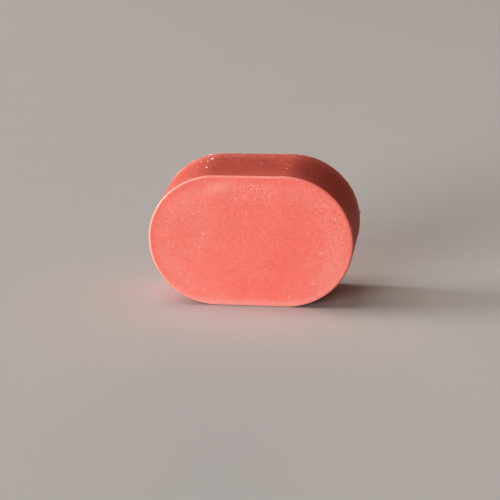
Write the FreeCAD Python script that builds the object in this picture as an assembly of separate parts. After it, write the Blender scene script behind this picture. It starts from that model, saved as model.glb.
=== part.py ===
import FreeCAD, Part
import math
import os
from FreeCAD import Vector

# A bar of soap, poured into an open mould and cast in one piece.
#
# Seen along its thickness the bar is a stadium: two half circles joined by two straight runs.
# The wall draws in a little from the pour side to the front face, so that the bar slips out of
# its mould. The mould's floor gave a flat front face with a rounded edge. On the open side the
# soap crept up the mould's wall as it set, which left a shallow dish with a thin, crisp rim.
# The bar stands on one straight run of its wall, with the front face towards -Y.
# All lengths are in millimetres and all angles in degrees.

# The outline and the depth of the mould
LENGTH = 82.0  # over both round ends, at the rim
WIDTH = 55.0  # across the straight runs, at the rim
THICKNESS = 31.0  # from the rim to the front face
DRAFT_ANGLE = 2.0  # lean of the wall towards the front face

# The edges
FRONT_EDGE_RADIUS = 1.0  # round between the wall and the front face
RIM_LAND = 0.35  # width of the flat top of the rim
DISH_DEPTH = 0.6  # how far the poured face lies below the rim
MENISCUS_RADIUS = 3.0  # curve by which the poured face rises to the rim

NODE = "soap_bar"
PARTS_FOLDER = "parts"


def half_section():
    """Half of the bar's cross-section, in the YZ plane: Y from the middle out, Z from the rim to the front."""
    draft = math.radians(DRAFT_ANGLE)
    rim_outer = WIDTH / 2
    rim_inner = rim_outer - RIM_LAND

    # The poured face: flat, then a curve that starts level and steepens up to the rim.
    meniscus_angle = math.acos(1 - DISH_DEPTH / MENISCUS_RADIUS)
    meniscus_start = rim_inner - MENISCUS_RADIUS * math.sin(meniscus_angle)

    def on_meniscus(angle):
        drop = MENISCUS_RADIUS * (1 - math.cos(angle))
        return Vector(0, meniscus_start + MENISCUS_RADIUS * math.sin(angle), DISH_DEPTH - drop)

    # The front edge: an arc tangent to the leaning wall and to the front face.
    edge_centre_z = THICKNESS - FRONT_EDGE_RADIUS
    wall_there = rim_outer - edge_centre_z * math.tan(draft)
    edge_centre_y = wall_there - FRONT_EDGE_RADIUS / math.cos(draft)

    def on_front_edge(angle):
        return Vector(
            0,
            edge_centre_y + FRONT_EDGE_RADIUS * math.cos(angle),
            edge_centre_z + FRONT_EDGE_RADIUS * math.sin(angle),
        )

    poured_middle = Vector(0, 0, DISH_DEPTH)
    poured_edge = on_meniscus(0)
    land_inner = Vector(0, rim_inner, 0)
    land_outer = Vector(0, rim_outer, 0)
    wall_end = on_front_edge(draft)
    face_edge = on_front_edge(math.pi / 2)
    face_middle = Vector(0, 0, THICKNESS)

    outline = [
        Part.LineSegment(poured_middle, poured_edge),
        Part.Arc(poured_edge, on_meniscus(meniscus_angle / 2), land_inner),
        Part.LineSegment(land_inner, land_outer),
        Part.LineSegment(land_outer, wall_end),
        Part.Arc(wall_end, on_front_edge((draft + math.pi / 2) / 2), face_edge),
        Part.LineSegment(face_edge, face_middle),
        Part.LineSegment(face_middle, poured_middle),
    ]
    return Part.Face(Part.Wire([curve.toShape() for curve in outline]))


def cast_bar():
    """The bar as it lies in the mould, rim at Z = 0: the section turned round each end and drawn along between."""
    section = half_section()
    straight_run = LENGTH - WIDTH
    half_run = Vector(straight_run / 2, 0, 0)
    mould_axis = Vector(0, 0, 1)

    middle_half = section.extrude(half_run * 2)
    middle_half.translate(-half_run)
    other_middle_half = middle_half.mirror(Vector(0, 0, 0), Vector(0, 1, 0))

    left_end = section.revolve(Vector(0, 0, 0), mould_axis, 180)
    left_end.translate(-half_run)
    right_end = left_end.mirror(Vector(0, 0, 0), Vector(1, 0, 0))

    joined = middle_half.fuse([other_middle_half, left_end, right_end])
    return joined.removeSplitter().Solids[0]


def stand_on_long_side(bar):
    """Turns the bar up onto one straight run of its wall, and sets the middle of its footing at the origin."""
    bar = bar.copy()
    quarter_turn = 90
    bar.rotate(Vector(0, 0, 0), Vector(1, 0, 0), quarter_turn + DRAFT_ANGLE)
    extent = bar.optimalBoundingBox(False)
    bar.translate(Vector(-extent.Center.x, -extent.Center.y, -extent.ZMin))
    return bar


def main():
    bar = stand_on_long_side(cast_bar())
    os.makedirs(PARTS_FOLDER, exist_ok=True)
    bar.exportStep(os.path.join(PARTS_FOLDER, NODE + ".step"))
    print(f"{NODE}: volume {bar.Volume / 1000:.2f} cm3, {len(bar.Faces)} faces, valid {bar.isValid()}")


main()
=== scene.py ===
import math
import random

import bmesh
import bpy
from mathutils import Matrix, Vector, kdtree, noise


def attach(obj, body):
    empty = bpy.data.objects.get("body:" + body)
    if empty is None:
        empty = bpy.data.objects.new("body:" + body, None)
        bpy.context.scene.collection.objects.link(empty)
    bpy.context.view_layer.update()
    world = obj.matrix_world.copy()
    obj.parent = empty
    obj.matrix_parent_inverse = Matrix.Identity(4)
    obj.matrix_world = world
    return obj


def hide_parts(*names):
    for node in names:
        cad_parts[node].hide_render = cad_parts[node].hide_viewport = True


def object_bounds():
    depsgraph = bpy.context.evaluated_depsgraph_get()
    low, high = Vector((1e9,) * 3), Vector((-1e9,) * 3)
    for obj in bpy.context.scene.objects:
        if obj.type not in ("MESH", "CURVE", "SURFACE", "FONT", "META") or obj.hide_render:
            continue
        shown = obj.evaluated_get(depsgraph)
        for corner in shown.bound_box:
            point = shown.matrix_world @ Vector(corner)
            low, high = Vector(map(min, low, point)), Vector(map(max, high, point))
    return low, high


# The finish of a poured bar of soap that stands on one straight run of its wall.
# Lengths are in metres, through MM, and angles are written in degrees.
# The bar is built as it lay in its mould: X along it, Y across it, Z from the rim down to the
# front face, with the middle of the rim's plane at zero. Then it is turned up onto its side.

MM = 0.001
HAIR = 0.01 * MM  # less than any step of the surface

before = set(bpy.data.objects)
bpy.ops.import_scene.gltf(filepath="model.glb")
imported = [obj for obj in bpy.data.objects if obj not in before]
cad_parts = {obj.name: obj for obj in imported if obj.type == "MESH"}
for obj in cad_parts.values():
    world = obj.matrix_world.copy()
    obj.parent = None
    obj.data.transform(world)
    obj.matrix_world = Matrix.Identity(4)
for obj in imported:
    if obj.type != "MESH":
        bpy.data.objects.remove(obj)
cad_low, cad_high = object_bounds()

# The bar's form, which is that of its solid, with the rim's outer corner a little worn
DRAFT = math.radians(2.0)
LENGTH = cad_high.x - cad_low.x
WIDTH = (cad_high.z - cad_low.z) / math.cos(DRAFT)
THICKNESS = 31.0 * MM
FRONT_EDGE_RADIUS = 1.0 * MM
RIM_LAND = 0.35 * MM
RIM_CORNER = 0.06 * MM
DISH_DEPTH = 0.6 * MM
MENISCUS_RADIUS = 3.0 * MM

RIM_RADIUS = WIDTH / 2
HALF_RUN = (LENGTH - WIDTH) / 2
EDGE_DEPTH = THICKNESS - FRONT_EDGE_RADIUS
EDGE_CENTRE = RIM_RADIUS - EDGE_DEPTH * math.tan(DRAFT) - FRONT_EDGE_RADIUS / math.cos(DRAFT)
MENISCUS_ANGLE = math.acos(1 - DISH_DEPTH / MENISCUS_RADIUS)
MENISCUS_START = RIM_RADIUS - RIM_LAND - MENISCUS_RADIUS * math.sin(MENISCUS_ANGLE)

# How finely the surface is divided
END_STEPS = 158
RUN_STEPS = 54
POUR_STEP = 0.85 * MM
WALL_STEP = 0.52 * MM
FACE_STEP = 0.42 * MM
MENISCUS_STEPS = 6
RIM_STEPS = 2
CORNER_STEPS = 3
EDGE_STEPS = 12
MARK_CUTS = 2
MARK_MARGIN = 0.15 * MM
SAME_POINT = 0.0001 * MM
FEATHER_STEPS = 4
CRUMB_DIVISIONS = 3

# Slight waves of the surface: wavelength, height, and the number of the wave's pattern
CAST_WAVES = [
    (19.0 * MM, 0.045 * MM, 1),
    (3.6 * MM, 0.005 * MM, 2),
    (1.8 * MM, 0.0025 * MM, 5),
]
POUR_WAVES = [(13.0 * MM, 0.110 * MM, 8)]
POUR_BLEND = 4.0 * MM
PATTERN_STEP = Vector((1.0, 3.7, -1.3))  # how far one wave's pattern is from the next one's

# Marks on the front face, in millimetres from its middle: x, y, radius, height (a pit is below
# zero), and how pale the mark's middle is
FACE_MARKS = [
    (-4.8, 17.6, 0.50, 0.12, 0.6),
    (-2.3, 18.2, 0.45, -0.14, 0.1),
    (-21.7, 15.7, 0.45, 0.09, 0.5),
    (-21.9, 11.3, 0.40, -0.12, 0.4),
    (-26.0, 8.7, 0.45, 0.09, 0.3),
    (-17.6, 3.1, 0.55, 0.14, 0.7),
    (-19.8, -2.4, 0.45, -0.24, 1.0),
    (-30.1, -2.6, 0.45, 0.08, 0.4),
    (-31.7, -0.6, 0.40, 0.06, 0.4),
    (-23.5, -3.6, 0.45, 0.08, 0.3),
    (-2.5, 0.4, 0.45, -0.18, 0.5),
    (0.0, 1.1, 0.40, 0.08, 0.5),
    (5.9, 4.3, 0.45, 0.15, 0.7),
    (-1.2, 11.8, 0.45, -0.15, 0.5),
    (-5.0, 11.0, 0.55, -0.24, 0.0),
    (1.3, 15.4, 0.50, -0.17, 0.4),
    (4.4, 12.0, 0.45, 0.08, 0.3),
    (-12.2, -10.3, 0.45, 0.09, 0.5),
    (-7.4, -10.3, 0.40, 0.09, 0.5),
    (-1.6, -10.8, 0.50, 0.08, 0.3),
    (-0.3, -15.9, 0.45, 0.08, 0.3),
    (27.5, -4.0, 0.50, 0.15, 0.9),
    (26.1, -0.6, 0.45, 0.08, 0.4),
    (35.5, 2.4, 0.45, 0.11, 0.6),
    (14.5, -22.2, 0.55, -0.22, 0.7),
    (-27.3, -19.6, 0.45, 0.08, 0.4),
    (-36.8, 1.8, 0.45, 0.08, 0.3),
    (26.5, 14.9, 0.45, 0.08, 0.3),
    (-1.3, 22.3, 0.50, 0.12, 0.5),
    (0.8, 21.3, 0.60, -0.14, 0.3),
    (1.7, 22.7, 0.50, 0.12, 0.4),
    (3.6, 21.6, 0.45, 0.10, 0.4),
    (-9.3, 9.7, 0.40, 0.08, 0.3),
    (-12.4, 20.9, 0.45, 0.08, 0.4),
    (-10.0, 5.9, 0.40, 0.07, 0.3),
    (-32.5, 12.3, 0.45, 0.08, 0.4),
    (11.1, 20.4, 0.55, 0.06, 0.5),
    (33.1, 10.1, 0.50, 0.12, 0.5),
    (34.7, 10.9, 0.45, 0.12, 0.6),
    (36.4, 5.6, 0.45, 0.12, 0.4),
    (29.9, 0.2, 0.45, 0.10, 0.5),
    (35.0, -0.9, 0.45, 0.10, 0.4),
    (24.8, -16.2, 0.50, 0.10, 0.4),
    (19.9, -17.3, 0.45, 0.08, 0.3),
    (-19.9, -5.0, 0.50, -0.10, 0.4),
    (-16.7, -5.8, 0.40, 0.07, 0.3),
    (-14.5, -5.8, 0.40, 0.07, 0.3),
    (-7.7, -3.1, 0.40, 0.07, 0.3),
    (-3.8, -6.0, 0.40, 0.07, 0.3),
    (0.7, -13.6, 0.45, -0.08, 0.3),
    (-5.1, -16.9, 0.45, -0.09, 0.2),
]

# Marks scattered over the front face: how many, how far inside its edge, the ranges of their
# radius, height and paleness, and their share of bumps and pits
MARK_SEED = 12
SMALL_MARKS = 130
SMALL_MARK_INSET = 1.0 * MM
SMALL_MARK_RADIUS = (0.25 * MM, 0.42 * MM)
SMALL_MARK_HEIGHT = (0.03 * MM, 0.09 * MM)
SMALL_MARK_PALE = (-0.2, 0.35)
UP_OR_DOWN = (1, 1, -1)

# Smooth bumps on the wall's upper side, in millimetres: x, depth below the rim, radius, height
WALL_BUMPS = [
    (-9.0, 15.7, 0.60, 0.24),
    (10.0, 6.0, 0.40, 0.07),
    (1.5, 5.0, 0.40, 0.07),
    (22.0, 11.0, 0.45, 0.07),
]

# Bumps scattered over the wall's upper side: how many, the range of x, the least, most and
# likeliest depth below the rim, and the ranges of their radius, height and paleness
SMALL_BUMPS = 120
SMALL_BUMP_X = (-32 * MM, 32 * MM)
SMALL_BUMP_DEPTH = (0.6 * MM, 20 * MM, 1.5 * MM)
SMALL_BUMP_RADIUS = (0.3 * MM, 0.5 * MM)
SMALL_BUMP_HEIGHT = (0.03 * MM, 0.16 * MM)
SMALL_BUMP_PALE = (-0.1, 0.3)

# Pits scattered over the pour: how many, and the ranges of their radius and height
POUR_PITS = 36
POUR_PIT_RADIUS = (0.3 * MM, 0.6 * MM)
POUR_PIT_HEIGHT = (-0.16 * MM, -0.05 * MM)

# Share of pale colour on the flat of the front face, in the ring inside its edge, and on the edge's round,
# where it is bloom and painted highlight, and share of bloom on the wall, near the rim and on the pour
BLOOM_BASE = 0.052
RING_PALENESS = 0.046
ROUND_BLOOM_AND_HIGHLIGHT = 0.148
BLOOM_WALL = 0.012
BLOOM_RIM = 0.018
BLOOM_POUR = 0.10

# Clouds of bloom: wavelength, amount, and the number of the wave's pattern
CLOUDS = [(6.0 * MM, 0.012, 11), (2.2 * MM, 0.008, 12)]
WALL_CLOUDS = [(2.3 * MM, 0.110, 15)]
RIM_CLOUDS = [(4.0 * MM, 0.036, 13)]
POUR_CLOUDS = [(9.0 * MM, 0.05, 14), (6.0 * MM, 0.024, 11), (2.2 * MM, 0.016, 12)]

# From where there is none of it to where it is full: inside the face's edge, or below the rim's
# plane, and for the ash that dried on the rim, away from the rim
RING_INNER_REACH = (12.0 * MM, 4.0 * MM)
RING_OUTER_REACH = (0.8 * MM, 4.0 * MM)
# The painted highlight and shade inside the face's edge fade in over the next reach.
EDGE_HIGHLIGHT_REACH = (2.8 * MM, 0.3 * MM)
WALL_CLOUDS_REACH = (18.0 * MM, 3.0 * MM)
RIM_BLOOM_REACH = (9.0 * MM, 1.0 * MM)
RIM_GRAIN_REACH = (12.0 * MM, 2.0 * MM)
RIM_ASH_REACH = (1.3 * MM, 0.0)

# Painted highlight and shade: how the pale share changes round the face's edge, as painted highlight along
# the bottom and the right end and painted shade just inside the upper left, and on the edge's round, as
# painted highlight, most on the left, some along the top and less at the upper right: which way the change
# points from the middle, in degrees from the bar's length, the change's half width in degrees, amount
EDGE_HIGHLIGHT_AND_SHADE = [
    (-90.0, 45.0, 0.175),
    (0.0, 65.0, 0.020),
    (135.0, 65.0, -0.035),
]
ROUND_HIGHLIGHT_CHANGES = [
    (90.0, 65.0, 0.060),
    (170.0, 45.0, 0.320),
    (25.0, 50.0, -0.150),
]

# Heights on the edge's round, as a share of its radius: below which it has the round's own painted
# highlight, and where the pale share with its painted highlight is gone and where it is full, along the
# straight runs and at the bar's ends
ROUND_HIGHLIGHT_BELOW = 0.96
GONE_ALONG_RUN = 0.0
FULL_ALONG_RUN = 0.7
GONE_AT_END = 0.5
FULL_AT_END = 0.92
END_BEGINS = 0.4  # share of the outward direction along the bar, from which on an end's heights hold

# Paler and darker patches on the front face, in millimetres from its middle: x, y, half length,
# half height, lean in degrees, amount
FACE_TONE_PATCHES = [
    (-11.5, 21.8, 5.5, 2.0, 25.0, 0.135),
    (-12.0, -23.5, 8.0, 2.0, 0.0, 0.045),
    (-29.0, -9.0, 6.0, 6.0, 30.0, 0.040),
    (-20.0, 2.0, 7.0, 14.0, 0.0, 0.034),
    (-22.0, -17.0, 5.0, 3.5, 30.0, 0.035),
    (33.0, -10.0, 9.0, 12.0, 20.0, 0.048),
    (32.0, -17.5, 7.0, 2.5, 40.0, 0.050),
    (38.0, 10.0, 2.5, 6.0, 15.0, 0.030),
    (24.0, 18.0, 8.0, 4.0, -30.0, 0.006),
    (-20.0, 13.0, 10.0, 7.0, 20.0, 0.026),
    (15.5, -3.0, 7.0, 16.0, -10.0, -0.042),
    (4.0, -19.5, 14.0, 3.5, 0.0, -0.080),
]

# Where the front face is rougher, in millimetres from its middle: x, y, half length, half height,
# lean in degrees, amount
ROUGH_PATCHES = [
    (1.5, 20.5, 7.0, 4.0, 0.0, 1.5),
    (31.0, 10.0, 9.0, 12.0, 0.0, 1.0),
    (30.0, -8.0, 9.0, 8.0, 0.0, 0.6),
    (-30.0, -9.0, 6.0, 6.0, 0.0, 0.5),
    (-27.0, 9.0, 8.0, 7.0, 0.0, 0.6),
]

# Strength of the fine grain, beside 1 on the flat of the front face
WALL_GRAIN = 0.7
RIM_GRAIN = 1.7
POUR_GRAIN = 0.5
ROUND_GRAIN = 0.4

# Crumbs of pale soap on the wall's upper side, in millimetres: x, depth below the rim, length,
# width, and which way the length points, in degrees from the bar's length
WALL_CRUMBS = [
    (-17.6, 7.4, 1.9, 1.1, 50.0),
    (-18.9, 9.9, 1.2, 0.8, 60.0),
    (-21.8, 8.7, 0.9, 0.6, 20.0),
    (-17.8, 19.3, 1.1, 0.9, 90.0),
    (-22.1, 15.6, 0.7, 0.5, 10.0),
    (13.6, 20.5, 0.6, 0.45, 0.0),
    (6.2, 6.0, 0.5, 0.4, 20.0),
    (10.4, 9.0, 0.5, 0.35, 0.0),
    (-5.5, 3.0, 0.5, 0.35, 0.0),
    (-1.0, 6.5, 0.4, 0.3, 30.0),
]

# Crumbs scattered besides: how many, the least, most and likeliest x and depth below the rim, and
# the ranges of their width and of their length in widths
CRUMB_SEED = 4
SMALL_CRUMBS = 30
SMALL_CRUMB_X = (-33 * MM, 33 * MM, -18 * MM)
SMALL_CRUMB_DEPTH = (0.4 * MM, 22 * MM, 1 * MM)
SMALL_CRUMB_WIDTH = (0.12 * MM, 0.30 * MM)
SMALL_CRUMB_STRETCH = (1.0, 1.8)

# A crumb's height as a share of its width, how far its middle stands out as a share of half its
# height, and its lumps: wavelength and height as shares of half its size
CRUMB_HEIGHT = 0.45
CRUMB_LIFT = 0.3
CRUMB_LUMPS = [(1.1, 0.5), (0.5, 0.25)]

# Where the feather of soap along the rim stands out as a flake, in millimetres from the middle
# of the rim: x, y, half length along the rim, height
RIM_FLAKES = [
    (-19.8, 26.8, 1.4, 0.45),
    (-15.5, 27.4, 0.8, 0.30),
    (-9.0, 27.5, 1.6, 0.25),
    (35.6, 16.3, 0.8, 0.40),
    (40.9, 3.5, 1.2, 0.85),
    (37.2, 12.8, 1.3, 0.30),
    (-38.0, 12.0, 1.0, 0.30),
    (2.0, -27.5, 1.5, 0.30),
    (-36.0, -15.5, 1.2, 0.35),
]

# The feather along the rim: its height, its waves (wavelength, height, pattern), its height where
# it is lowest, the raggedness of its flakes, and how far it leans out as it rises
FEATHER_HEIGHT = 0.10 * MM
FEATHER_WAVES = [(5.0 * MM, 0.22 * MM, 21), (1.3 * MM, 0.16 * MM, 22)]
FEATHER_LOWEST = -0.03 * MM
FLAKE_BASE = 0.75
FLAKE_WAVES = [(0.6 * MM, 0.5, 23)]
FEATHER_LEAN = 0.7

# The feather's section: how far the tip lies inside the rim's outer edge, half the tip's width, and
# how far inside that edge and how deep the two lines of the root lie
TIP_INSET = 0.09 * MM
TIP_HALF_WIDTH = 0.03 * MM
INNER_ROOT = (0.24 * MM, 0.06 * MM)
OUTER_ROOT = (0.02 * MM, 0.12 * MM)


def new_object(name, data):
    made = bpy.data.objects.new(name, data)
    bpy.context.scene.collection.objects.link(made)
    return made


def between(first, last, share):
    return first + (last - first) * share


def smoothstep(low, high, value):
    share = min(max((value - low) / (high - low), 0.0), 1.0)
    return share * share * (3 - 2 * share)


def wave(point, wavelength, pattern):
    """Smooth noise from about -1 to 1."""
    return noise.noise(point / wavelength + pattern * PATTERN_STEP)


def waves(point, table):
    """The sum of a table's waves."""
    return sum(height * wave(point, wavelength, pattern) for wavelength, height, pattern in table)


def off_middle_line(point):
    """How far a point lies from the straight line between the centres of the round ends."""
    return math.hypot(max(abs(point.x) - HALF_RUN, 0.0), point.y)


def outward(point):
    """Which way is out from the middle line, on the face's plane."""
    middle = Vector((max(min(point.x, HALF_RUN), -HALF_RUN), 0))
    return (point.to_2d() - middle).normalized()


def on_pour(point):
    """Whether a point lies on the poured face or its meniscus."""
    return point.z < DISH_DEPTH + HAIR and off_middle_line(point) < RIM_RADIUS - RIM_LAND + HAIR


def on_round(point):
    """Whether a point lies on the round of the front edge."""
    return point.z > EDGE_DEPTH and off_middle_line(point) > EDGE_CENTRE - HAIR


def stadium(radius, depth):
    """One ring of points round the bar."""
    ring = []
    for side in (1, -1):
        for i in range(END_STEPS):
            turn = math.pi * (i / END_STEPS - 0.5)
            x = side * (HALF_RUN + radius * math.cos(turn))
            ring.append(Vector((x, side * radius * math.sin(turn), depth)))
        for i in range(RUN_STEPS):
            ring.append(Vector((side * HALF_RUN * (1 - 2 * i / RUN_STEPS), side * radius, depth)))
    return ring


def straight(start, end, step):
    """Points of a straight line in the half-section, without its last."""
    count = max(1, round(math.dist(start, end) / step))
    shares = [i / count for i in range(count)]
    return [(between(start[0], end[0], share), between(start[1], end[1], share)) for share in shares]


def arc(centre, radius, first, last, count):
    """Points of an arc in the half-section, without its last, between two angles from the radius."""
    turns = [between(first, last, i / count) for i in range(count)]
    return [(centre[0] + radius * math.cos(t), centre[1] + radius * math.sin(t)) for t in turns]


def half_section():
    """The bar's section from the middle of the pour to the middle of the face, as (radius, depth)."""
    quarter = math.pi / 2
    meniscus_centre = (MENISCUS_START, DISH_DEPTH - MENISCUS_RADIUS)
    corner_centre = (RIM_RADIUS - RIM_CORNER, RIM_CORNER)
    edge_centre = (EDGE_CENTRE, EDGE_DEPTH)
    wall_end = (
        EDGE_CENTRE + FRONT_EDGE_RADIUS * math.cos(DRAFT),
        EDGE_DEPTH + FRONT_EDGE_RADIUS * math.sin(DRAFT),
    )
    return [
        *straight((0, DISH_DEPTH), (MENISCUS_START, DISH_DEPTH), POUR_STEP),
        *arc(meniscus_centre, MENISCUS_RADIUS, quarter, quarter - MENISCUS_ANGLE, MENISCUS_STEPS),
        *straight((RIM_RADIUS - RIM_LAND, 0), (RIM_RADIUS - RIM_CORNER, 0), RIM_LAND / RIM_STEPS),
        *arc(corner_centre, RIM_CORNER, -quarter, DRAFT, CORNER_STEPS),
        *straight((RIM_RADIUS - RIM_CORNER * math.tan(DRAFT), RIM_CORNER), wall_end, WALL_STEP),
        *arc(edge_centre, FRONT_EDGE_RADIUS, DRAFT, quarter, EDGE_STEPS),
        *straight((EDGE_CENTRE, THICKNESS), (0, THICKNESS), FACE_STEP),
        (0, THICKNESS),
    ]


def join_rings(shape, ring, next_ring):
    """Makes a band of faces between two closed rings of vertices."""
    for i in range(len(ring)):
        shape.faces.new((ring[i - 1], next_ring[i - 1], next_ring[i], ring[i]))


def wall_place(x, depth):
    """A point on the wall's upper side, and the outward direction there."""
    radius = RIM_RADIUS - depth * math.tan(DRAFT)
    turn = math.asin(max(abs(x) - HALF_RUN, 0.0) / radius)
    out = Vector((math.copysign(math.sin(turn), x), math.cos(turn), 0))
    middle = Vector((math.copysign(min(abs(x), HALF_RUN), x), 0, depth))
    return middle + out * radius, out


def placed_marks():
    """The bumps and pits that have a place of their own: where, radius, height, how pale."""
    marks = []
    for x, y, radius, height, pale in FACE_MARKS:
        marks.append((Vector((x * MM, y * MM, THICKNESS)), radius * MM, height * MM, pale))
    for x, depth, radius, height in WALL_BUMPS:
        marks.append((wall_place(x * MM, depth * MM)[0], radius * MM, height * MM, 0.0))
    return marks


def scattered_marks():
    """Small bumps and pits on the front face, on the wall's upper side and on the pour."""
    rng = random.Random(MARK_SEED)
    marks = []
    while len(marks) < SMALL_MARKS:
        place = Vector((rng.uniform(-0.5, 0.5) * LENGTH, rng.uniform(-0.5, 0.5) * WIDTH, THICKNESS))
        if off_middle_line(place) < EDGE_CENTRE - SMALL_MARK_INSET:
            height = rng.choice(UP_OR_DOWN) * rng.uniform(*SMALL_MARK_HEIGHT)
            radius = rng.uniform(*SMALL_MARK_RADIUS)
            marks.append((place, radius, height, rng.uniform(*SMALL_MARK_PALE)))
    for _ in range(SMALL_BUMPS):
        place = wall_place(rng.uniform(*SMALL_BUMP_X), rng.triangular(*SMALL_BUMP_DEPTH))[0]
        radius = rng.uniform(*SMALL_BUMP_RADIUS)
        height = rng.uniform(*SMALL_BUMP_HEIGHT)
        marks.append((place, radius, height, rng.uniform(*SMALL_BUMP_PALE)))
    for _ in range(POUR_PITS):
        reach = MENISCUS_START * math.sqrt(rng.random())
        turn = rng.uniform(0, 2 * math.pi)
        place = Vector((reach * math.cos(turn) * LENGTH / WIDTH, reach * math.sin(turn), DISH_DEPTH))
        radius = rng.uniform(*POUR_PIT_RADIUS)
        marks.append((place, radius, rng.uniform(*POUR_PIT_HEIGHT), 0.0))
    return marks


def refine(shape, marks):
    """Divides the surface more finely round each mark."""
    tree = kdtree.KDTree(len(shape.edges))
    shape.edges.ensure_lookup_table()
    for edge in shape.edges:
        tree.insert((edge.verts[0].co + edge.verts[1].co) / 2, edge.index)
    tree.balance()
    near = {i for place, radius, *_ in marks for _, i, _ in tree.find_range(place, radius + MARK_MARGIN)}
    bmesh.ops.subdivide_edges(shape, edges=[shape.edges[i] for i in near], cuts=1, use_grid_fill=True)


def press_marks(shape, marks):
    """How far the marks lift each vertex, and how pale they make it."""
    lifts = [0.0] * len(shape.verts)
    pales = [0.0] * len(shape.verts)
    tree = kdtree.KDTree(len(shape.verts))
    for i, vert in enumerate(shape.verts):
        tree.insert(vert.co, i)
    tree.balance()
    for place, radius, height, pale in marks:
        for _, i, far in tree.find_range(place, radius):
            share = (1 - (far / radius) ** 2) ** 2
            lifts[i] += height * share
            pales[i] = max(pales[i], pale * share)
    return lifts, pales


def unevenness(point):
    """How far the surface stands out at a point, by the slight waves that any casting has."""
    high = waves(point, CAST_WAVES)
    if on_pour(point):
        inside = smoothstep(0, POUR_BLEND, MENISCUS_START - off_middle_line(point))
        high += inside * waves(point, POUR_WAVES)
    return high


def rim_share(point):
    """1 on the rim, falling to 0 a little way from it."""
    far = math.hypot(RIM_RADIUS - off_middle_line(point), point.z)
    return smoothstep(*RIM_ASH_REACH, far)


def change_round_edge(way, table):
    """The sum of a table's changes of the pale share, which paint highlight and shade, in one direction
    from the middle.
    """
    turn = math.degrees(math.atan2(way.y, way.x))
    total = 0.0
    for middle, half_width, amount in table:
        away = (turn - middle + 180) % 360 - 180
        total += amount * math.exp(-((away / half_width) ** 2))
    return total


def patches(point, table):
    """The sum of a table's soft oval patches on the front face."""
    total = 0.0
    for x, y, half_length, half_height, lean, amount in table:
        away = Matrix.Rotation(-math.radians(lean), 2) @ Vector((point.x / MM - x, point.y / MM - y))
        total += amount * math.exp(-((away.x / half_length) ** 2 + (away.y / half_height) ** 2))
    return total


def round_bloom_and_highlight(point):
    """Pale colour on the round of the front edge, mostly painted highlight over some bloom, which fades
    out towards the wall, and sooner at the ends.
    """
    high = (point.z - EDGE_DEPTH) / FRONT_EDGE_RADIUS
    way = outward(point)
    own = ROUND_BLOOM_AND_HIGHLIGHT + change_round_edge(way, ROUND_HIGHLIGHT_CHANGES)
    share = BLOOM_BASE + change_round_edge(way, EDGE_HIGHLIGHT_AND_SHADE)
    share += own * smoothstep(1.0, ROUND_HIGHLIGHT_BELOW, high)
    at_end = smoothstep(0, END_BEGINS, abs(way.x))
    gone = between(GONE_ALONG_RUN, GONE_AT_END, at_end)
    full = between(FULL_ALONG_RUN, FULL_AT_END, at_end)
    return share * smoothstep(gone, full, high)


def wall_bloom(point):
    """Bloom on the wall: little, but more and cloudier towards the rim."""
    share = BLOOM_WALL + waves(point, CLOUDS)
    share += waves(point, WALL_CLOUDS) * smoothstep(*WALL_CLOUDS_REACH, point.z)
    return share + (BLOOM_RIM + waves(point, RIM_CLOUDS)) * smoothstep(*RIM_BLOOM_REACH, point.z)


def face_bloom_and_painted_edge(point):
    """Pale colour on the flat of the front face: bloom in clouds, a ring inside the edge, soft paler and
    darker patches, and painted highlight and shade just inside the edge.
    """
    inside = EDGE_CENTRE - off_middle_line(point)
    ring = smoothstep(*RING_OUTER_REACH, inside) * smoothstep(*RING_INNER_REACH, inside)
    share = BLOOM_BASE + waves(point, CLOUDS) + RING_PALENESS * ring + patches(point, FACE_TONE_PATCHES)
    return share + change_round_edge(outward(point), EDGE_HIGHLIGHT_AND_SHADE) * smoothstep(*EDGE_HIGHLIGHT_REACH, inside)


def bloom_and_highlight(point):
    """Share of pale colour: the bloom that dries on soap, and painted highlight and shade along the front
    edge.
    """
    if on_pour(point):
        share = BLOOM_POUR + waves(point, POUR_CLOUDS)
    elif point.z < EDGE_DEPTH:
        share = wall_bloom(point)
    elif off_middle_line(point) > EDGE_CENTRE:
        share = round_bloom_and_highlight(point)
    else:
        share = face_bloom_and_painted_edge(point)
    return max(share, 0.0)


def grain(point):
    """Strength of the fine grain: more near the rim and on patches of the face, and less elsewhere."""
    if on_pour(point):
        return POUR_GRAIN
    if point.z < EDGE_DEPTH:
        return between(WALL_GRAIN, RIM_GRAIN, smoothstep(*RIM_GRAIN_REACH, point.z))
    if on_round(point):
        return ROUND_GRAIN
    return 1 + patches(point, ROUGH_PATCHES)


def mould_to_row():
    """Turns the bar up onto one straight run of its wall, and moves it to where its solid stands."""
    turn = Matrix.Rotation(math.radians(90) + DRAFT, 4, "X")
    foot = turn @ Vector((0, -RIM_RADIUS, 0))
    shift = Vector((0, cad_high.y - foot.y, cad_low.z - foot.z))
    return Matrix.Translation(shift) @ turn


TO_ROW = mould_to_row()


def stood_up(name, shape):
    """Makes a piece of a shape that was built as it lay in the mould, turned up to stand in the row."""
    mesh = bpy.data.meshes.new(name)
    shape.to_mesh(mesh)
    shape.free()
    mesh.transform(TO_ROW)
    for vert in mesh.vertices:
        vert.co.z = max(vert.co.z, cad_low.z)
    mesh.shade_smooth()
    return new_object(name, mesh)


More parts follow.
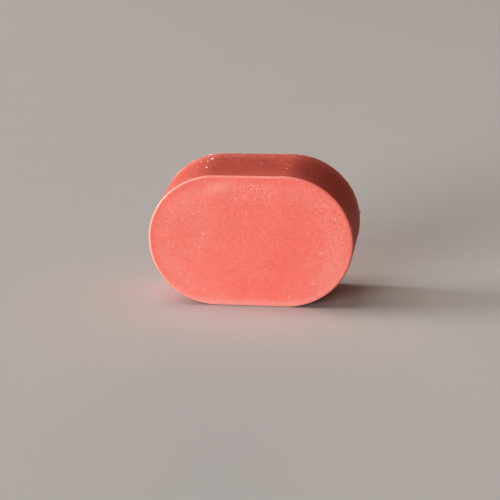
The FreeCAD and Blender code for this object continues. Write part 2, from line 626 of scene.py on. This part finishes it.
def cast_bar():
    """The bar's one solid, as a fine mesh, with what its material reads at each vertex."""
    shape = bmesh.new()
    rings = [[shape.verts.new(p) for p in stadium(*row)] for row in half_section()]
    for ring, next_ring in zip(rings, rings[1:]):
        join_rings(shape, ring, next_ring)
    bmesh.ops.remove_doubles(shape, verts=shape.verts, dist=SAME_POINT)
    marks = placed_marks() + scattered_marks()
    for _ in range(MARK_CUTS):
        refine(shape, marks)
    bmesh.ops.recalc_face_normals(shape, faces=shape.faces)
    shape.normal_update()
    lifts, pales = press_marks(shape, marks)
    points = [vert.co.copy() for vert in shape.verts]
    for vert, point, lift in zip(shape.verts, points, lifts):
        vert.co = point + vert.normal * (lift + unevenness(point))
    piece = stood_up("soap_bar_cast", shape)
    read_by_material = {
        # The pale share: bloom, with painted highlight and shade along the front edge
        "bloom_and_highlight": [bloom_and_highlight(point) for point in points],
        "speck": pales,
        "rim": [rim_share(point) for point in points],
        "grain": [grain(point) for point in points],
        "polish": [float(on_round(point)) for point in points],
    }
    for name, values in read_by_material.items():
        piece.data.attributes.new(name, "FLOAT", "POINT").data.foreach_set("value", values)
    return piece


def add_crumb(shape, place, out, heading, length, width, rng):
    """A small irregular chip, partly sunk in the surface."""
    round_way = Vector((out.y, -out.x, 0))
    along = round_way * math.cos(heading) + Vector((0, 0, 1)) * math.sin(heading)
    across = out.cross(along)
    made = bmesh.ops.create_icosphere(shape, subdivisions=CRUMB_DIVISIONS, radius=1.0)
    height = CRUMB_HEIGHT * width
    pattern = rng.uniform(0, 100)
    lumps = [(wavelength, high, pattern + i) for i, (wavelength, high) in enumerate(CRUMB_LUMPS)]
    for vert in made["verts"]:
        p = vert.co
        reach = along * (p.x * length) + across * (p.y * width) + out * ((p.z + CRUMB_LIFT) * height)
        vert.co = place + (1 + waves(p, lumps)) * reach / 2


def crumbs():
    """The crumbs of pale soap that cling to the wall."""
    rng = random.Random(CRUMB_SEED)
    shape = bmesh.new()
    for x, depth, length, width, heading in WALL_CRUMBS:
        place, out = wall_place(x * MM, depth * MM)
        add_crumb(shape, place, out, math.radians(heading), length * MM, width * MM, rng)
    for _ in range(SMALL_CRUMBS):
        place, out = wall_place(rng.triangular(*SMALL_CRUMB_X), rng.triangular(*SMALL_CRUMB_DEPTH))
        width = rng.uniform(*SMALL_CRUMB_WIDTH)
        heading = rng.uniform(0, math.pi)
        length = width * rng.uniform(*SMALL_CRUMB_STRETCH)
        add_crumb(shape, place, out, heading, length, width, rng)
    return stood_up("crumbs", shape)


def feather_height(point):
    """How high the feather of soap stands above the rim."""
    height = FEATHER_HEIGHT + waves(point, FEATHER_WAVES)
    for x, y, half_length, flake in RIM_FLAKES:
        far = math.hypot(point.x - x * MM, point.y - y * MM) / (half_length * MM)
        if far < 1:
            height += flake * MM * (1 - far * far) * (FLAKE_BASE + waves(point, FLAKE_WAVES))
    return max(height, FEATHER_LOWEST)


def feather_section(point):
    """The corners of the feather's section, at a point of the rim's outer edge."""
    out = outward(point).to_3d()
    deeper = Vector((0, 0, 1))
    height = feather_height(point)
    inner, outer = [point - out * inset + deeper * depth for inset, depth in (INNER_ROOT, OUTER_ROOT)]
    tip = point + out * (FEATHER_LEAN * height - TIP_INSET) - deeper * height
    return inner, tip - out * TIP_HALF_WIDTH, tip + out * TIP_HALF_WIDTH, outer


def rim_feather():
    """The thin ragged edge that the soap left where it crept up the mould's wall."""
    edge = stadium(RIM_RADIUS, 0)
    shape = bmesh.new()
    rings = []
    for start, end in zip(edge, edge[1:] + edge[:1]):
        for k in range(FEATHER_STEPS):
            section = feather_section(start.lerp(end, k / FEATHER_STEPS))
            rings.append([shape.verts.new(corner) for corner in section])
    for ring, next_ring in zip(rings[-1:] + rings, rings):
        join_rings(shape, ring, next_ring)
    bmesh.ops.recalc_face_normals(shape, faces=shape.faces)
    return stood_up("rim_feather", shape)


class Nodes:
    """Makes the nodes of one material and joins them."""

    def __init__(self, name):
        self.material = bpy.data.materials.new(name)
        self.material.use_nodes = True
        self.tree = self.material.node_tree
        self.shader = self.tree.nodes["Principled BSDF"]

    def put(self, socket, value):
        if isinstance(value, bpy.types.NodeSocket):
            self.tree.links.new(value, socket)
        else:
            socket.default_value = value

    def shade(self, inputs):
        """Sets the shader's inputs, to a value that is the same all over or to another node's output."""
        for name, value in inputs.items():
            self.put(self.shader.inputs[name], value)

    def make(self, kind, inputs, **settings):
        made = self.tree.nodes.new(kind)
        for name, value in settings.items():
            setattr(made, name, value)
        for key, value in inputs.items():
            self.put(made.inputs[key], value)
        return made

    def place(self):
        """The point on the surface, in the row frame."""
        return self.make("ShaderNodeTexCoord", {}).outputs["Object"]

    def attribute(self, name):
        return self.make("ShaderNodeAttribute", {}, attribute_name=name).outputs["Fac"]

    def math(self, operation, a, b):
        return self.make("ShaderNodeMath", {0: a, 1: b}, operation=operation).outputs[0]

    def add(self, a, b):
        return self.math("ADD", a, b)

    def subtract(self, a, b):
        return self.math("SUBTRACT", a, b)

    def multiply(self, a, b):
        return self.math("MULTIPLY", a, b)

    def ramp(self, value, low, high, first=0.0, last=1.0):
        """Goes smoothly from first, where the value is low, to last, where it is high."""
        inputs = {"Value": value, "From Min": low, "From Max": high, "To Min": first, "To Max": last}
        made = self.make("ShaderNodeMapRange", inputs, interpolation_type="SMOOTHSTEP")
        return made.outputs["Result"]

    def mix(self, share, first, second):
        return self.make("ShaderNodeMixRGB", {"Fac": share, "Color1": first, "Color2": second}).outputs[0]

    def noise(self, place, wavelength, detail=2.0):
        inputs = {"Vector": place, "Scale": 1 / wavelength, "Detail": detail}
        return self.make("ShaderNodeTexNoise", inputs).outputs["Fac"]

    def cells(self, place, size):
        """Distance to the nearest of scattered points, in their spacings, and a number for each."""
        made = self.make("ShaderNodeTexVoronoi", {"Vector": place, "Scale": 1 / size})
        number = self.make("ShaderNodeSeparateColor", {"Color": made.outputs["Color"]})
        return made.outputs["Distance"], number.outputs[0]

    def stretched(self, place, scale):
        return self.make("ShaderNodeMapping", {"Vector": place, "Scale": scale}).outputs[0]

    def below_rim(self, place):
        """Depth below the plane of the rim."""
        axis = TO_ROW.to_3x3() @ Vector((0, 0, 1))
        made = self.make("ShaderNodeVectorMath", {0: place, 1: axis}, operation="DOT_PRODUCT")
        return self.subtract(made.outputs["Value"], TO_ROW.translation.dot(axis))

    def bump(self, height):
        made = self.make("ShaderNodeBump", {"Height": height, "Distance": 1.0, "Strength": 1.0})
        return made.outputs["Normal"]


# Colours of soap: pigment where it lies deep and where it lies light, where the skin dried, bloom,
# which also paints the highlight along the front edge, and thin dry crumbs
SOAP_DEEP = (0.600, 0.132, 0.101, 1)
SOAP_LIGHT = (0.770, 0.194, 0.154, 1)
SOAP_DRIED = (0.900, 0.270, 0.220, 1)
SOAP_PALE = (0.860, 0.700, 0.640, 1)
CRUMB_TINTS = ((0.86, 0.60, 0.53, 1), (0.92, 0.83, 0.78, 1))

# The pigment: the broad cloud's share beside the fine one's, how much of it is dried at the rim and
# at the front face, and between which depths that fades
CLOUD_SHARE = 0.55
DRIED_AT_RIM = 0.75
DRIED_AT_FACE = 0.28
RIM_DRIED_END = 10 * MM
FACE_DRIED_START = 20 * MM

# Pale dots: spacing, the largest one's radius and its soft edge in spacings, from which number on
# a cell has one, and how pale the palest is
DOT_SPACING = 2.3 * MM
DOT_RADIUS = 0.09
DOT_EDGE = 0.05
DOTS_FROM = 0.4
DOT_PALENESS = 0.45

# Paleness of the marks' specks and of the dry rim, how softly the dry rim ends, and how far fine
# dust changes the share of bloom and painted highlight
SPECK_PALENESS = 0.8
RIM_PALENESS = 0.6
RIM_BORDER = 0.4
DUST = 0.044

# Roughness: of the wall and the front face, of the cloud over them, and what the dry rim and the
# edge's round add to it
WALL_ROUGHNESS = 0.60
FACE_ROUGHNESS = 0.27
ROUGHNESS_CLOUD = (-0.03, 0.05)
ROUGHNESS_STARTS = EDGE_DEPTH - 1.5 * MM
DRY_ROUGHNESS = 0.4
ROUND_ROUGHNESS = -0.10

# Relief by bump alone: heights of the grain's lumps, of the wall's swells, of the streaks round
# the bar, of the dots and of a crumb's grain, the depth from which the swells fade towards the
# front face, and the scale along X, Y and Z that draws the streaks out
LUMP_HEIGHT = 0.052 * MM
SWELL_HEIGHT = 0.19 * MM
STREAK_HEIGHT = 0.200 * MM
DOT_HEIGHT = 0.05 * MM
CRUMB_GRAIN_HEIGHT = 0.02 * MM
SWELLS_FADE_FROM = 26 * MM
STREAK_SCALE = (0.05, 1.0, 0.05)


def soap_pigment(n, place, depth):
    """Uneven pigment, lighter where the skin dried: by the rim and towards the front face."""
    cloud = n.noise(place, wavelength=11 * MM, detail=3.0)
    fine = n.ramp(n.noise(place, wavelength=0.8 * MM), low=0.30, high=0.70)
    both = n.add(n.multiply(cloud, CLOUD_SHARE), n.multiply(fine, 1 - CLOUD_SHARE))
    by_rim = n.ramp(depth, low=0.0, high=RIM_DRIED_END, first=DRIED_AT_RIM, last=0.0)
    by_face = n.ramp(depth, low=FACE_DRIED_START, high=EDGE_DEPTH, first=0.0, last=DRIED_AT_FACE)
    pigment = n.mix(both, SOAP_DEEP, SOAP_LIGHT)
    return n.mix(by_face, n.mix(by_rim, pigment, SOAP_DRIED), SOAP_DRIED)


def soap_dots(n, place, coarse):
    """Small pale dots in the skin, of many sizes and strengths."""
    distance, number = n.cells(place, size=DOT_SPACING)
    beyond = n.subtract(distance, n.multiply(number, DOT_RADIUS))
    dots = n.ramp(beyond, low=0.0, high=DOT_EDGE, first=1.0, last=0.0)
    strength = n.ramp(number, low=DOTS_FROM, high=1.0, first=0.0, last=DOT_PALENESS)
    return n.multiply(n.multiply(dots, strength), coarse)


def dry_rim(n, place):
    """How far the soap is dried out at the rim, with a ragged border."""
    ragged = n.noise(place, wavelength=1.4 * MM, detail=3.0)
    inside = n.subtract(n.attribute("rim"), ragged)
    return n.ramp(inside, low=0.0, high=RIM_BORDER, first=0.0, last=RIM_PALENESS)


def soap_colour(n, pigment, place, coarse, dots, dry):
    """The pigment under bloom with its painted highlight and shade along the front edge, dots, the marks'
    specks and the dry rim.
    """
    fine = n.noise(place, wavelength=0.75 * MM, detail=3.0)
    dust = n.multiply(n.ramp(fine, low=0.32, high=0.68, first=-DUST, last=DUST), coarse)
    # Bloom, with painted highlight and shade along the front edge, mixes in the pale colour
    colour = n.mix(n.add(n.attribute("bloom_and_highlight"), dust), pigment, SOAP_PALE)
    colour = n.mix(dots, colour, SOAP_PALE)
    colour = n.mix(n.multiply(n.attribute("speck"), SPECK_PALENESS), colour, SOAP_PALE)
    return n.mix(dry, colour, SOAP_PALE)


def soap_roughness(n, place, depth, dry):
    """Satin on the front face, more so on its round, and duller on the wall and the dry rim."""
    rough = n.ramp(depth, low=ROUGHNESS_STARTS, high=EDGE_DEPTH, first=WALL_ROUGHNESS, last=FACE_ROUGHNESS)
    cloud = n.noise(place, wavelength=4 * MM, detail=3.0)
    least, most = ROUGHNESS_CLOUD
    rough = n.add(rough, n.ramp(cloud, low=0.3, high=0.7, first=least, last=most))
    rough = n.add(rough, n.multiply(dry, DRY_ROUGHNESS))
    return n.add(rough, n.multiply(n.attribute("polish"), ROUND_ROUGHNESS))


def soap_relief(n, place, depth, coarse, dots):
    """Height of what is too fine for the mesh."""
    lumps = n.multiply(n.noise(place, wavelength=0.9 * MM), LUMP_HEIGHT)
    swell_height = n.ramp(depth, low=SWELLS_FADE_FROM, high=EDGE_DEPTH, first=SWELL_HEIGHT, last=0.0)
    swells = n.multiply(n.noise(place, wavelength=2.2 * MM), swell_height)
    streaks = n.noise(n.stretched(place, STREAK_SCALE), wavelength=3.6 * MM, detail=3.0)
    height = n.multiply(n.add(lumps, swells), coarse)
    height = n.add(height, n.multiply(streaks, STREAK_HEIGHT))
    return n.add(height, n.multiply(dots, DOT_HEIGHT))


def soap_material():
    """Coral soap with a satin skin: uneven pigment, pale bloom and specks, a dry pale rim, and painted
    highlight and shade along the front edge.
    """
    n = Nodes("soap")
    place = n.place()
    depth = n.below_rim(place)
    coarse = n.attribute("grain")
    dots = soap_dots(n, place, coarse)
    dry = dry_rim(n, place)
    pigment = soap_pigment(n, place, depth)
    n.shade({
        "Base Color": soap_colour(n, pigment, place, coarse, dots, dry),
        "Roughness": soap_roughness(n, place, depth, dry),
        "Normal": n.bump(soap_relief(n, place, depth, coarse, dots)),
        "IOR": 1.47,
        "Specular IOR Level": 0.38,
        "Subsurface Weight": 0.15,
        "Subsurface Radius": (1.0, 0.30, 0.20),
        "Subsurface Scale": 0.5 * MM,
    })
    return n.material


def dry_soap_material():
    """Soap that dried thin and pale."""
    n = Nodes("dry_soap")
    place = n.place()
    tint = n.ramp(n.noise(place, wavelength=0.9 * MM), low=0.35, high=0.7)
    rough = n.ramp(n.noise(place, wavelength=0.6 * MM), low=0.3, high=0.7, first=0.5, last=0.75)
    lumps = n.multiply(n.noise(place, wavelength=0.3 * MM), CRUMB_GRAIN_HEIGHT)
    n.shade({
        "Base Color": n.mix(tint, *CRUMB_TINTS),
        "Roughness": rough,
        "Normal": n.bump(lumps),
        "Subsurface Weight": 0.6,
        "Subsurface Radius": (1.0, 0.8, 0.6),
        "Subsurface Scale": 0.5 * MM,
    })
    return n.material


FLOOR_RADIUS = 4.0
BACKDROP_HEIGHT = 2.5
CIRCLE_STEPS = 128
FLOOR_TINTS = ((0.675, 0.68, 0.685, 1), (0.685, 0.69, 0.695, 1))
BACKDROP_TINTS = ((0.40, 0.39, 0.38, 1), (0.44, 0.43, 0.42, 1))
BLACK = (0, 0, 0, 1)


def circle(height):
    """A ring of points at the edge of the floor."""
    turns = [2 * math.pi * i / CIRCLE_STEPS for i in range(CIRCLE_STEPS)]
    return [(FLOOR_RADIUS * math.cos(t), FLOOR_RADIUS * math.sin(t), height) for t in turns]


def floor():
    """A plain pale floor, larger than any view of the bar."""
    mesh = bpy.data.meshes.new("floor")
    mesh.from_pydata(circle(0.0), [], [range(CIRCLE_STEPS)])
    n = Nodes("floor")
    cloud = n.noise(n.place(), wavelength=60 * MM, detail=4.0)
    n.shade({"Base Color": n.mix(cloud, *FLOOR_TINTS), "Roughness": 0.9, "Specular IOR Level": 0.1})
    mesh.materials.append(n.material)
    new_object("floor", mesh)


def backdrop():
    """A plain pale wall round the floor. It neither lights the bar nor stops the lamps' light."""
    mesh = bpy.data.meshes.new("backdrop")
    sides = []
    for i in range(CIRCLE_STEPS):
        following = (i + 1) % CIRCLE_STEPS
        sides.append((i, following, following + CIRCLE_STEPS, i + CIRCLE_STEPS))
    mesh.from_pydata(circle(0.0) + circle(BACKDROP_HEIGHT), [], sides)
    n = Nodes("backdrop")
    cloud = n.noise(n.place(), wavelength=2.0, detail=1.0)
    n.shade({
        "Base Color": BLACK,
        "Specular IOR Level": 0.0,
        "Emission Color": n.mix(cloud, *BACKDROP_TINTS),
        "Emission Strength": 1.0,
    })
    n.material.cycles.emission_sampling = "NONE"
    mesh.materials.append(n.material)
    wall = new_object("backdrop", mesh)
    wall.visible_diffuse = False
    wall.visible_glossy = False
    wall.visible_transmission = False
    wall.visible_shadow = False


# The camera, as the photograph was taken: round the middle of the bar's box
CAMERA_AZIMUTH = 8.08
CAMERA_ELEVATION = 15.85
CAMERA_DISTANCE = 430.3 * MM
CAMERA_ROLL = -1.10
CAMERA_AIM = Vector((-2.13, 0.0, 18.61)) * MM
PICTURE_SIDE = 500
FOCAL_PIXELS = 1080.0
SENSOR_WIDTH = 36.0
NEAREST = 10 * MM
FARTHEST = 50.0


def direction(azimuth, elevation):
    """Unit vector from the bar: azimuth 0 is in front of it and 90 to its right."""
    a, e = math.radians(azimuth), math.radians(elevation)
    return Vector((math.sin(a) * math.cos(e), -math.cos(a) * math.cos(e), math.sin(e)))


def camera():
    data = bpy.data.cameras.new("camera")
    data.sensor_width = SENSOR_WIDTH
    data.lens = FOCAL_PIXELS * SENSOR_WIDTH / PICTURE_SIDE
    data.clip_start = NEAREST
    data.clip_end = FARTHEST
    place = (cad_low + cad_high) / 2 + CAMERA_DISTANCE * direction(CAMERA_AZIMUTH, CAMERA_ELEVATION)
    forward = (CAMERA_AIM - place).normalized()
    right = forward.cross(Vector((0, 0, 1))).normalized()
    upright = Matrix((right, right.cross(forward), -forward)).transposed()
    turn = upright @ Matrix.Rotation(math.radians(CAMERA_ROLL), 3, "Z")
    made = new_object("camera", data)
    made.matrix_world = Matrix.Translation(place) @ turn.to_4x4()
    bpy.context.scene.camera = made


LAMP_DISTANCE = 15.0
WHITE = (1.0, 1.0, 1.0)
WARM_WHITE = (1.0, 0.92, 0.83)
WARM = (1.0, 0.55, 0.34)
WORLD_COLOUR = (1, 1, 1, 1)
WORLD_STRENGTH = 0.045

# Soft boxes: name, azimuth, elevation, width and height as angles seen from the bar, the light
# that reaches it, colour, and whether the lamp shows in the soap's gloss
LAMPS = [
    ("window", -35, 7.5, 36, 13, 2.54, WHITE, True),
    ("side", -86, 13, 12, 7, 0.94, WHITE, True),
    ("side_strip", -95, 36, 8, 36, 0.42, WHITE, True),
    ("ceiling", -90, 70, 40, 40, 0.67, WARM_WHITE, True),
    ("fill", 90, 62, 40, 40, 0.15, WARM, False),
    ("back", 184, 8, 30, 12, 0.70, WARM, False),
]


def lamp(name, azimuth, elevation, wide, high, strength, colour, shines):
    data = bpy.data.lights.new(name, "AREA")
    data.shape = "RECTANGLE"
    data.size = 2 * LAMP_DISTANCE * math.tan(math.radians(wide / 2))
    data.size_y = 2 * LAMP_DISTANCE * math.tan(math.radians(high / 2))
    data.energy = strength * math.pi * LAMP_DISTANCE**2
    data.color = colour
    made = new_object(name, data)
    way = direction(azimuth, elevation)
    made.location = LAMP_DISTANCE * way
    made.rotation_mode = "QUATERNION"
    made.rotation_quaternion = way.to_track_quat("Z", "Y")
    made.visible_glossy = shines
    made.visible_camera = False


def lights():
    for row in LAMPS:
        lamp(*row)
    world = bpy.data.worlds.new("world")
    world.use_nodes = True
    background = world.node_tree.nodes["Background"]
    background.inputs["Color"].default_value = WORLD_COLOUR
    background.inputs["Strength"].default_value = WORLD_STRENGTH
    bpy.context.scene.world = world


def finish_piece(piece, material):
    piece.data.materials.append(material)
    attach(piece, "root")


bar = cast_bar()
finish_piece(bar, soap_material())
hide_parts("soap_bar")
dry_soap = dry_soap_material()
finish_piece(crumbs(), dry_soap)
finish_piece(rim_feather(), dry_soap)
floor()
backdrop()
camera()
lights()
bpy.context.scene.view_settings.view_transform = "Standard"
bpy.context.scene.view_settings.look = "High Contrast"
